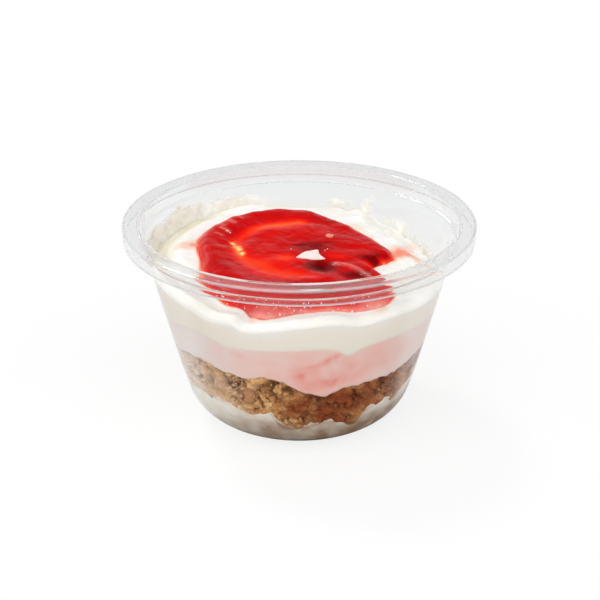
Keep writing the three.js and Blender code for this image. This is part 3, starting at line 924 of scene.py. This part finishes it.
# Redder streaks in the mousse: degrees, height, half width, half height, rise per degree, strength
STREAKS = [
    (13.0, 31.9, 3.4, 1.0, 0.22, 1.0), (6, 29.6, 9.0, 0.8, 0.12, 0.45), (1.5, 27.2, 4.5, 1.5, 0.12, 0.75),
    (1, 24.6, 3.4, 2.0, 0.0, 0.6), (12, 23.6, 9.0, 2.2, 0.10, 0.8), (24, 28.0, 20.0, 3.6, 0.05, 0.32),
    (-13, 30.0, 9.0, 0.7, -0.03, 0.2), (-24, 31.5, 6.0, 0.8, -0.03, 0.18), (140, 29, 20, 2.0, 0.05, 0.4),
    (-120, 28, 25, 1.6, 0.04, 0.35),
]


def make_mousse(material):
    degrees = even_degrees(LAYER_STEPS)
    shares = np.concatenate([np.linspace(0, 0.8, 4), np.linspace(0.85, 1, 9)])
    top = around(CREAM_FOOT, degrees)
    foot = ragged(MOUSSE_FOOT, degrees, 0.42, 1.9, 77)
    points, faces = turned(layer_surface(top, CREAM_FOOT_MIDDLE, shares), wall_rows(top, foot, MOUSSE_ROWS),
                           inward(layer_surface(foot, MOUSSE_FOOT_MIDDLE, shares)))
    angle, _, z = around_axis(points)
    streak = np.zeros(len(points))
    for at, height, wide, tall, rise, strength in STREAKS:
        streak += strength * bell(angle - at, wide) * bell(z - height - rise * (angle - at), tall)
    streak *= 0.75 + 0.45 * layered_noise(points, 2.2, 3, 5)
    pale = ((0.95 - 0.35 * blend(110, 180, -angle)) * blend(8, 45, -angle)
            + (0.55 + 0.05 * blend(110, 180, angle)) * blend(20, 55, angle)
            + 0.25 * layered_noise(points, 7, 2, 79))
    add_piece("pink_mousse_fill", points, faces, material, "pink_mousse", "mousse",
              streak=np.clip(streak, 0, 1), pale=np.clip(pale, 0, 1),
              below=around(CREAM_FOOT, angle) - z)


def cream_blush(x, y):
    """How much the sauce has tinted the cream beside it, from 0 to 1."""
    outside = np.hypot(x, y) - around(SAUCE_OUTLINE, degrees_of(x, y))
    tint = 0.8 * bell(np.maximum(outside, 0), 0.5)
    for knots, width, strength in BLEEDS:
        distance, share = path_distance(path_points(knots, 24), x, y)
        faded = strength * (1 - 0.6 * share)
        tint = np.maximum(tint, faded * bell(distance, width * (1 - 0.45 * share)))
    return np.clip(tint * (1 + 0.3 * unevenness(x, y, 2.5, 3, 81)), 0, 1)


def cream_surface(x, y):
    """Height of the cream with its folds and soft unevenness, which end before the wall."""
    radius, degrees = np.hypot(x, y), degrees_of(x, y)
    uneven = 0.26 * unevenness(x, y, 7, 2, 11) + 0.13 * unevenness(x, y, 2.6, 3, 23)
    lumpy = 0.3 * (blend(20, 26, radius) * bell(degrees_between(degrees, 110), 55))
    relief = strokes(x, y, FOLDS) + uneven + lumpy * unevenness(x, y, 1.7, 3, 29)
    room = fill_radius(around(CREAM_EDGE, degrees)) - radius
    return cream_height(x, y) + relief * blend(0.5, 4, room)


def lip_height(degrees):
    """How far the cream's rounded edge reaches down: farther where a fold leans on the wall in front."""
    return LIP_HEIGHT + LIP_HEIGHT_LEFT * bell(degrees_between(degrees, LIP_LEFT), LIP_LEFT_WIDTH)


def make_top_cream(material):
    degrees = even_degrees(CREAM_STEPS)
    wall = fill_radius(around(CREAM_EDGE, degrees))[:, None]
    radius = (wall - LIP_WIDTH) * np.linspace(0, 1, CREAM_RINGS)
    height = cream_surface(*along(degrees[:, None], radius))
    height[:, 0] = height[:, 0].mean()
    turn = np.radians(np.linspace(0, 90, LIP_STEPS)[None, 1:])
    lip_z = height[:, -1:] - lip_height(degrees)[:, None] * (1 - np.cos(turn))
    lip_r = np.minimum(wall - LIP_WIDTH * (1 - np.sin(turn)), fill_radius(lip_z))
    foot = around(CREAM_FOOT, degrees)
    shares = np.concatenate([np.linspace(0, 0.8, 4), [0.9, 1]])
    under = layer_surface(foot - UNDERLAP, CREAM_FOOT_MIDDLE, shares, UNDERLAP_INSET)
    wall_r, wall_z = wall_rows(lip_z[:, -1], under[1][:, -1], CREAM_ROWS)
    wall_r = wall_r - UNDERLAP_INSET * blend(0, 1, foot[:, None] + 0.4 - wall_z)
    points, faces = turned((radius, height), (lip_r, lip_z), (wall_r, wall_z), inward(under))
    x, y, z = points.T
    angle, out, _ = around_axis(points)
    below_edge = around(CREAM_EDGE, angle) - z
    blush = cream_blush(x, y) * (1 - blend(0.2, 2.5, below_edge))
    shade = strokes(x, y, SHADES) * (1 - blend(1.2, 3.6, below_edge))
    pressed = blend(0.93, 1.0, out / fill_radius(z)) * blend(0.5, 6, below_edge)
    add_piece("top_cream_fill", points, faces, material, "top_cream", "cream_top",
              blush=blush, pressed=pressed, shade=np.clip(shade, 0, 1))


# Tip of cream through the sauce

TIP_ROWS, TIP_SIDES = 40, 48
TIP_X, TIP_Y = 1.1, -3.6
TIP_LENGTH = 4.2
TIP_BREADTH = 2.6
TIP_TOP = 48.4
TIP_LEAN = 0.6
TIP_FOOT = 1.0
TIP_LEVELS = [0, 0.56, 0.7, 0.82, 0.93, 1]
TIP_SIZES = [1.2, 1.0, 0.72, 0.47, 0.3, 0.14]
TIP_LEFT = [1.2, 1.05, 0.92, 0.74, 0.5, 0.16]
TIP_RIGHT = [1.2, 1.0, 0.56, 0.33, 0.24, 0.14]


def make_tip(material):
    rows, sides = TIP_ROWS, TIP_SIDES
    foot = float(cream_height(TIP_X, TIP_Y)) - TIP_FOOT
    level = np.linspace(0, 1, rows)[:, None]
    angle = np.arange(sides) * 2 * math.pi / sides
    size, left, right = (np.interp(level, TIP_LEVELS, form) for form in (TIP_SIZES, TIP_LEFT, TIP_RIGHT))
    lift = (TIP_TOP - foot) * level
    x = TIP_X + TIP_LENGTH * np.where(np.cos(angle) < 0, left, right) * np.cos(angle) + TIP_LEAN * lift
    front = np.where(np.sin(angle) < 0, 0.36, 0.8)
    y = TIP_Y + TIP_BREADTH * size * front * (1 - 0.45 * level) * np.sin(angle)
    z = foot + lift - 0.14 * (size * np.cos(angle)) ** 2 + 0 * x
    rings = np.stack([x, y, z], -1).reshape(-1, 3)
    rings += 0.10 * np.stack([layered_noise(rings, 1.6, 2, s) for s in (31, 32, 33)], 1)
    top = rings[-sides:].mean(0) + [0, 0, 0.05]
    points = np.vstack([rings, [[TIP_X, TIP_Y, foot]], [top]])
    faces = []
    last = (rows - 1) * sides
    for i in range(sides):
        j = (i + 1) % sides
        faces += [[low + i, low + j, low + sides + j, low + sides + i] for low in range(0, last, sides)]
        faces += [[rows * sides, j, i], [rows * sides + 1, last + i, last + j]]
    blush = np.clip(0.45 - (points[:, 2] - foot - 2.6) / 2, 0, 1)
    add_piece("cream_tip", points, faces, material, "top_cream", "cream_top",
              blush=blush, pressed=0, shade=0)


# Sauce

def sauce_relief(x, y):
    """Ring, grooves, hollows and fine streaks of the sauce, in millimetres."""
    radius, degrees = np.hypot(x, y), degrees_of(x, y)
    streaked = bell(degrees_between(degrees, -108), 52) * blend(17, 20, radius)
    streaks = 0.035 * unevenness(degrees / 1.6, radius / 9, 1.0, 2, 41) * streaked
    soft = 0.03 * unevenness(x, y, 4, 2, 43)
    return strokes(x, y, SAUCE_LINES) + spots(x, y, SAUCE_HOLLOWS) + streaks + soft


def sauce_depth(x, y, inside):
    """How deep the sauce looks, from 0, thin and orange, to 1, dark, with painted shade and glow in its
    spots.
    """
    distance, share = path_distance(track_points, x, y)
    ends = blend(-0.02, 0.05, share) * (1 - 0.35 * bell(share - 0.36, 0.1))
    track = bell(distance, 1.7 + 1.3 * blend(0.55, 0.8, share)) * ends
    patchy = np.clip(0.6 + 1.2 * unevenness(x, y, 5, 1, 45), 0, 1)
    depth = (0.60 - (0.46 - 0.26 * blend(0.5, 0.85, share)) * track + spots(x, y, SAUCE_TONES)
             + 0.06 * bell(np.hypot(x, y) - 23, 4) - 0.42 * patchy * bell(np.maximum(inside, 0), 0.6))
    return np.clip(depth, 0, 1)


def make_sauce(material):
    degrees = even_degrees(CREAM_STEPS)
    outline = around(SAUCE_OUTLINE, degrees)
    outline = (outline + 0.22 * unevenness(*along(degrees, outline), 2.0, 3, 47))[:, None]
    radius = outline * (1 - (1 - np.linspace(0, 1, SAUCE_RINGS)) ** 1.3)
    x, y = along(degrees[:, None], radius)
    bed = cream_surface(x, y)
    top = bed + sauce_thickness(x, y) + sauce_relief(x, y) * blend(0, 2.5, outline - radius)
    top[:, -1] = bed[:, -1] - SAUCE_EDGE_SINK
    top[:, 0] = top[:, 0].mean()
    under = bed[:, ::-SAUCE_UNDER_STEP] - SAUCE_UNDERSIDE
    under_r = radius[:, ::-SAUCE_UNDER_STEP].copy()
    under[:, -1] = under[:, -1].mean()
    under_r[:, -1] = 0
    points, faces = turned((radius, top), (under_r, under))
    x, y = points.T[:2]
    angle, out, _ = around_axis(points)
    inside = around(SAUCE_OUTLINE, angle) - out
    # Painted caustics
    shining = spots(x, y, SHINING_SPOTS) * (0.9 + 0.9 * noise(points / 0.8, 49))
    # Painted highlight and haze at the sauce's front-left edge, over thin sauce
    front_edge = 0.4 * bell(np.maximum(inside, 0), 1.0) * blend(-28, -14, angle) * blend(-50, -35, -angle)
    # The pale line along the swirl's end and the streaks are painted highlights
    milky = spots(x, y, SAUCE_MILKY) + front_edge + strokes(x, y, [(SWIRL_END, 0.7, 0.28)] + PALE_STREAKS)
    milky *= 1 + 0.25 * layered_noise(points, 1.2, 3, 50)
    add_piece("fruit_sauce_pool", points, faces, material, "fruit_sauce", "sauce",
              depth=sauce_depth(x, y, inside), shining=np.clip(shining, 0, 1),
              milky=np.clip(milky, 0, 0.9))


def on_sauce(x, y, lift):
    """A place at a height over the sauce's surface."""
    at = np.array([x]), np.array([y])
    return x, y, float((cream_surface(*at) + sauce_thickness(*at) + sauce_relief(*at))[0]) + lift


# Small things

SEEDS = [(-12.9, -15.7), (-12.1, -19.5), (15.1, -17.4), (-20.4, -18.2), (-19.3, 0.8), (-3.4, -21.8)]

# White specks on the sauce standing in for glints, painted highlights: (x, y, half length, turn in degrees)
SAUCE_SPECKS = [
    (-2.2, 1.2, 0.16, 0), (6.9, 0.4, 0.16, 0), (7.6, 1.0, 0.16, 0), (-19.8, 10.4, 0.55, -40),
    (-19.0, 9.7, 0.3, -30), (-15.2, 23.0, 0.6, 5), (-14.2, 23.5, 0.4, 20), (-21.6, -22.6, 0.7, -40),
    (-20.2, -23.4, 0.9, -35), (-19.4, -22.6, 0.5, -30), (-18.2, -24.0, 0.6, -30), (-21.0, -21.4, 0.4, -50),
    (-20.6, -24.4, 0.5, -35),
]


def scatter(name, material, slot, things, detail, **attributes):
    """One piece of small lumps, each given as (centre, half lengths, turn in degrees)."""
    ball, ball_faces = icosphere(detail)
    rng = np.random.default_rng(91)
    parts = []
    for centre, half, turn in things:
        rough = 1 + 0.18 * noise(ball * 1.3 + rng.uniform(0, 50, 3), 93)
        c, s = math.cos(math.radians(turn)), math.sin(math.radians(turn))
        form = ball * rough[:, None] * np.array(half) @ np.array([[c, s, 0], [-s, c, 0], [0, 0, 1]])
        parts.append((form + np.array(centre), ball_faces, 0.0))
    points, faces, _ = join(parts)
    add_piece(name, points, faces, material, slot=slot, **attributes)


def make_seeds(material):
    rng = np.random.default_rng(95)
    things = []
    for x, y in SEEDS:
        size = rng.uniform(0.32, 0.45)
        half = (size, size * 0.6, size * 0.45)
        things.append((on_sauce(x, y, 0.02), half, rng.uniform(0, 180)))
    scatter("sauce_seeds", material, "sauce", things, 3)


def make_blobs(material):
    """The pink blob of cream on the sauce."""
    things = [(on_sauce(8.3, 9.5, -0.05), (1.2, 1.3, 0.25), 10)]
    scatter("sauce_blobs", material, "cream_top", things, 4, blush=0.78, pressed=0, shade=0)


def make_specks(material):
    """Droplets of cream on the inside of the wall in front, and white specks on the sauce as painted glints.
    """
    rng = np.random.default_rng(97)
    things = []
    for _ in range(SPECK_COUNT):
        degrees = rng.normal(SPECK_MIDDLE, SPECK_SPREAD)
        z = SPECK_TOP - abs(rng.normal(0, SPECK_FALL))
        size = 0.06 + 0.13 * rng.random() ** 2
        radius = float(body_radius(z, WALL)) - 0.03
        long = size * (1 + 1.6 * (rng.random() < 0.25))
        things.append(((*along(degrees, radius), z), (size, size * 0.5, long), degrees))
    # Painted highlights on the sauce
    for x, y, long, turn in SAUCE_SPECKS:
        things.append((on_sauce(x, y, 0.05), (long, 0.18, 0.12), turn))
    scatter("cream_specks", material, "cream_top", things, 2, blush=0, pressed=0, shade=0)


def make_smears(material):
    """Thin cream that the spoon left on the wall above the filling."""
    angle, z = np.meshgrid(np.arange(-180, 180, SMEAR_DEGREES), np.arange(SMEAR_BOTTOM, SMEAR_TOP, SMEAR_ROW),
                           indexing="ij")
    cover = np.zeros(angle.shape)
    for at, level, wide, tall, amount in SMEARS:
        above = np.maximum(z - level, 0)
        cover = np.maximum(cover, amount * bell(degrees_between(angle, at), wide) * bell(above, tall))
    radius = body_radius(z, WALL)
    x, y = along(angle, radius)
    rough = 0.45 * unevenness(x, y, 5.5, 2, 101, z * 1.3) + 0.04 * unevenness(x, y, 1.4, 2, 103, z * 1.3)
    cover = np.maximum(0.8 * cover * (1 + 1.3 * rough) - 0.1, 0)
    cover = cover * blend(-1.2, -0.4, z - around(CREAM_EDGE, angle) + LIP_HEIGHT)
    outer = grid_points(*along(angle, radius - 0.02), z)
    inner = grid_points(*along(angle, radius - 0.02 - cover), z)
    kept = cover[:-1, :-1] + cover[1:, :-1] + cover[:-1, 1:] + cover[1:, 1:] > 0
    rows = z.shape[1]
    corner = np.nonzero(kept)[0] * rows + np.nonzero(kept)[1]
    used, quads = np.unique(np.stack([corner, corner + rows, corner + rows + 1, corner + 1], 1),
                            return_inverse=True)
    quads = quads.reshape(-1, 4)
    cover = cover.ravel()[used]
    thick = cover > 0
    inner_index = np.where(thick, len(used) + np.cumsum(thick) - 1, np.arange(len(used)))
    faces = np.vstack([quads, inner_index[quads[:, ::-1]]]).tolist()
    add_piece("wall_smears", np.vstack([outer[used], inner[used][thick]]), faces, material,
              slot="cream_top", cover=np.concatenate([cover, cover[thick]]))


# Crumb

def lump_random(seed):
    """The same run of numbers as the solid's lumps."""
    state = seed
    while True:
        state = (state * 1664525 + 1013904223) % 4294967296
        yield state / 4294967296


def icosphere(detail):
    form = bmesh.new()
    bmesh.ops.create_icosphere(form, subdivisions=detail, radius=1)
    points = np.array([v.co[:] for v in form.verts])
    faces = np.array([[v.index for v in f.verts] for f in form.faces])
    form.free()
    return points, faces


def crumb_span(degrees):
    """Heights of the crumb's lower and upper boundaries on the wall."""
    return around(CRUMB_FOOT, degrees), around(MOUSSE_FOOT, degrees)


def inside_cup(points, low_gap, high_gap):
    """Presses points back between the crumb's two boundaries and inside the wall."""
    angle, radius, z = around_axis(points)
    low, high = crumb_span(angle)
    z = np.clip(z, low - low_gap, high - high_gap)
    shrink = np.minimum(1, (fill_radius(z) + CRUMB_REACH) / radius)
    return np.stack([points[:, 0] * shrink, points[:, 1] * shrink, z], 1)


def crumb_piece(name, points, faces, tone, material):
    """Piece of crumb: painted shade in its recesses, browner in the middle and right, painted haze on the
    left.
    """
    angle, radius, z = around_axis(points)
    uneven = 0.4 * layered_noise(points, 4, 2, 111)
    moist = blend(-22, 12, angle) * (1 - 0.3 * blend(25, 50, angle)) * blend(-140, -100, -angle) + uneven
    # Painted haze of light reflected in the plastic, paler on the left
    floury = blend(15, 60, -angle) * blend(-125, -100, angle) * 0.75 * (1 + uneven)
    # Painted shade darkens the recesses; painted haze pales the left
    add_piece(name, points, faces, material, "crumb_layer", "biscuit_crumb", tone=tone,
              deep=0.8 * blend(0.7, 2.8, fill_radius(z) - radius), moist=np.clip(moist, 0, 1),
              floury=np.clip(floury, 0, 0.8))


def humps(p, size, seed):
    """Rounded humps with sharp cracks between them, from 0 to 1, and each hump's own value."""
    distance, value = cells(p, size, seed)
    return np.maximum(1 - (distance / 0.85) ** 2, 0), value


def join(parts):
    """Joins (points, faces, tone) parts into one mesh with a tone for each point."""
    points, faces, tones = zip(*parts)
    sizes = [len(part) for part in points]
    starts = np.cumsum([0] + sizes[:-1])
    faces = np.vstack([part + start for part, start in zip(faces, starts)]).tolist()
    return np.vstack(points), faces, np.repeat(tones, sizes)


def crumb_core(material):
    """Packed crumb: clumps with humps on them and deep cracks between, the tallest against the wall."""
    degrees = even_degrees(CORE_STEPS)
    shares = [0, 0.4, 0.8, 0.88, 0.94]
    low, high = crumb_span(degrees)
    upper, lower = high + CORE_RISE, low - CORE_DROP
    wall_r, wall_z = wall_rows(upper, lower, CORE_ROWS)
    p = grid_points(*along(degrees[:, None], wall_r), wall_z)
    p = p + 0.6 * np.stack([layered_noise(p, 2.2, 2, s) for s in (1, 2, 4)], 1)
    rise, tone = 0, 0.12
    for size, height, share, seed in CLUMPS:
        hump, value = humps(p, size, seed)
        rise, tone = rise + height * hump, tone + share * value
    rise = rise + 1.5 * layered_noise(p, 2.6, 4, 9)
    depth = (np.clip(2.9 - rise, 0.06, 2.3) + 0.16 * layered_noise(p, 0.7, 3, 8)).reshape(wall_r.shape)
    below, above = upper[:, None] - wall_z, wall_z - lower[:, None]
    depth *= 0.35 + 0.65 * blend(-0.3, 1.8, np.minimum(below - CORE_RISE, above - CORE_DROP))
    wall_r = wall_r - depth - 0.8 * (1 - blend(0, 1.1, np.minimum(below, above)))
    points, faces = turned(layer_surface(upper, MOUSSE_FOOT_MIDDLE, shares), (wall_r, wall_z),
                           inward(layer_surface(lower, CRUMB_FOOT_MIDDLE, shares)))
    tones = np.pad(tone.reshape(wall_r.shape), ((0, 0), (len(shares) - 1,) * 2), constant_values=CORE_TONE)
    tones = np.concatenate([[CORE_TONE], tones.ravel(), [CORE_TONE]])
    crumb_piece("crumb_core", points, faces, tones, material)


def crumb_lumps(material):
    random = lump_random(LUMP_SEED)
    for _ in range(3 * SOLID_STEPS):
        next(random)
    ball, ball_faces = icosphere(4)
    parts = []
    for row, i in np.ndindex(LUMP_ROWS, LUMPS_PER_ROW):
        degrees = 360 * (i + 0.5 * (row % 2) + 0.3 * next(random)) / LUMPS_PER_ROW
        share = (row + 0.5 + 0.3 * (next(random) - 0.5)) / LUMP_ROWS
        low, high = crumb_span(degrees)
        z = float(low * (1 - share) + high * share)
        radius = LUMP_RADIUS * (1 + LUMP_SPREAD * (2 * next(random) - 1))
        for _ in range(LUMP_DRAWS_UNUSED):
            next(random)
        centre = np.array([*along(degrees, float(body_radius(z, WALL + 0.3)) - radius * LUMP_DEPTH), z])
        p = ball * radius + centre * 1.7 + row
        rough = (0.3 * layered_noise(p, radius * 0.8, 5, 51) + 0.4 * humps(p, 2.6, 53)[0]
                 + 0.08 * humps(p, 1.0, 55)[0])
        lump = ball * radius * (0.68 + rough)[:, None] + centre
        tone = 0.55 + 0.8 * (lattice(*np.array([[i], [row], [3]]), 57)[0] - 0.5)
        parts.append((inside_cup(lump, 0.7, 0.6), ball_faces, tone))
    crumb_piece("crumb_lumps", *join(parts), material)


def loose_crumb(material, name, count, smallest, largest, detail, seed, sink, spill):
    """Loose crumbs of one size range, between the lumps and pressed to the wall."""
    rng = np.random.default_rng(seed)
    ball, ball_faces = icosphere(detail)
    parts = []
    for _ in range(count):
        degrees = rng.uniform(-180, 180)
        low, high = crumb_span(degrees)
        z = rng.uniform(float(low) - spill, float(high) - smallest)
        radius = smallest + (largest - smallest) * rng.random() ** 2
        depth = rng.uniform(0.2, sink)
        centre = np.array([*along(degrees, float(fill_radius(z)) - radius * 0.6 - depth), z])
        stretch = rng.uniform(0.7, 1.3, 3)
        rough = 1 + 0.5 * layered_noise(ball + centre * 3.1, 1.0, 3, seed)
        grain = ball * (stretch * radius) * rough[:, None] + centre
        tone = float(np.clip(rng.normal(0.6, 0.2), 0, 1))
        parts.append((inside_cup(grain, 1.2, -0.5), ball_faces, tone))
    crumb_piece(name, *join(parts), material)


# Stage

def aim(piece, azimuth, elevation, distance, centre, target):
    """Places an object round and above a centre, at a distance, and turns it to face a target."""
    rise = math.radians(elevation)
    x, y = along(azimuth, distance * math.cos(rise))
    place = np.add(centre, (x, y, distance * math.sin(rise)))
    piece.location = place * MM
    piece.rotation_euler = Vector(np.subtract(target, place)).to_track_quat("-Z", "Y").to_euler()


def add_camera():
    data = bpy.data.cameras.new("camera")
    data.lens = CAMERA_LENS
    data.sensor_width = SENSOR_WIDTH
    data.clip_start = 10 * MM
    camera = add_object("camera", data)
    target = (CAMERA_SIDE, 0, CAMERA_TARGET_HEIGHT)
    aim(camera, 0, CAMERA_ELEVATION, CAMERA_DISTANCE, target, target)
    bpy.context.scene.camera = camera


def add_key_light():
    data = bpy.data.lights.new("key", "AREA")
    data.size = KEY_SIZE * MM
    data.energy = KEY_POWER
    light = add_object("key", data)
    aim(light, KEY_AZIMUTH, KEY_ELEVATION, KEY_DISTANCE, (0, 0, KEY_BASE), (0, 0, KEY_TARGET))


def add_floor():
    corners = [(-1, -1), (1, -1), (1, 1), (-1, 1)]
    points = [[x * FLOOR_SIZE, y * FLOOR_SIZE, 0] for x, y in corners]
    add_piece("floor", points, [[0, 1, 2, 3]], floor_material(), smooth=False)


def add_world():
    """A studio that is bright in front and above, and dark behind where the wet sauce mirrors it."""
    world = bpy.data.worlds.new("studio")
    world.use_nodes = True
    nodes = Nodes(world.node_tree)
    x, y, z = nodes.add("SeparateXYZ", Vector=nodes.add("TexCoord").outputs["Generated"]).outputs
    rays = nodes.add("LightPath").outputs
    behind = nodes.map(y, -0.3, 0.15)

    def levels(table):
        stops = [(math.sin(math.radians(elevation)), (level, level, level, 1)) for elevation, level in table]
        return nodes.ramp(z, stops, "LINEAR")

    soft = nodes.mix(behind, levels(SOFT_IN_FRONT), levels(SOFT_BEHIND))
    mirrored = nodes.mix(behind, levels(MIRRORED_IN_FRONT), levels(MIRRORED_BEHIND))
    aside = nodes.map(nodes.math("ABSOLUTE", x), 0.28, 0.5, 0.0, 0.7)
    mirrored = nodes.mix(aside, mirrored, (0.14, 0.14, 0.14, 1))
    sky = nodes.mix(rays["Is Glossy Ray"], soft, mirrored)
    sky = nodes.mix(rays["Is Transmission Ray"], sky, levels(SEEN_THROUGH))
    sky = nodes.mix(nodes.caught(rays), sky, levels(SEEN_THROUGH))
    nodes.set(world.node_tree.nodes["Background"], {"Color": sky})
    bpy.context.scene.world = world


def main():
    scene = bpy.context.scene
    scene.view_settings.view_transform = "Standard"
    scene.cycles.use_denoising = True
    add_camera()
    add_world()
    add_floor()
    add_key_light()
    cream = cream_material()
    crumb = crumb_material()
    make_cup()
    make_base_cream(base_cream_material())
    make_mousse(mousse_material())
    make_top_cream(cream)
    make_tip(cream)
    make_sauce(sauce_material())
    make_seeds(seed_material())
    make_blobs(cream)
    make_specks(cream)
    make_smears(smear_material())
    crumb_core(crumb)
    crumb_lumps(crumb)
    for sort in LOOSE_CRUMB:
        loose_crumb(crumb, *sort)


main()
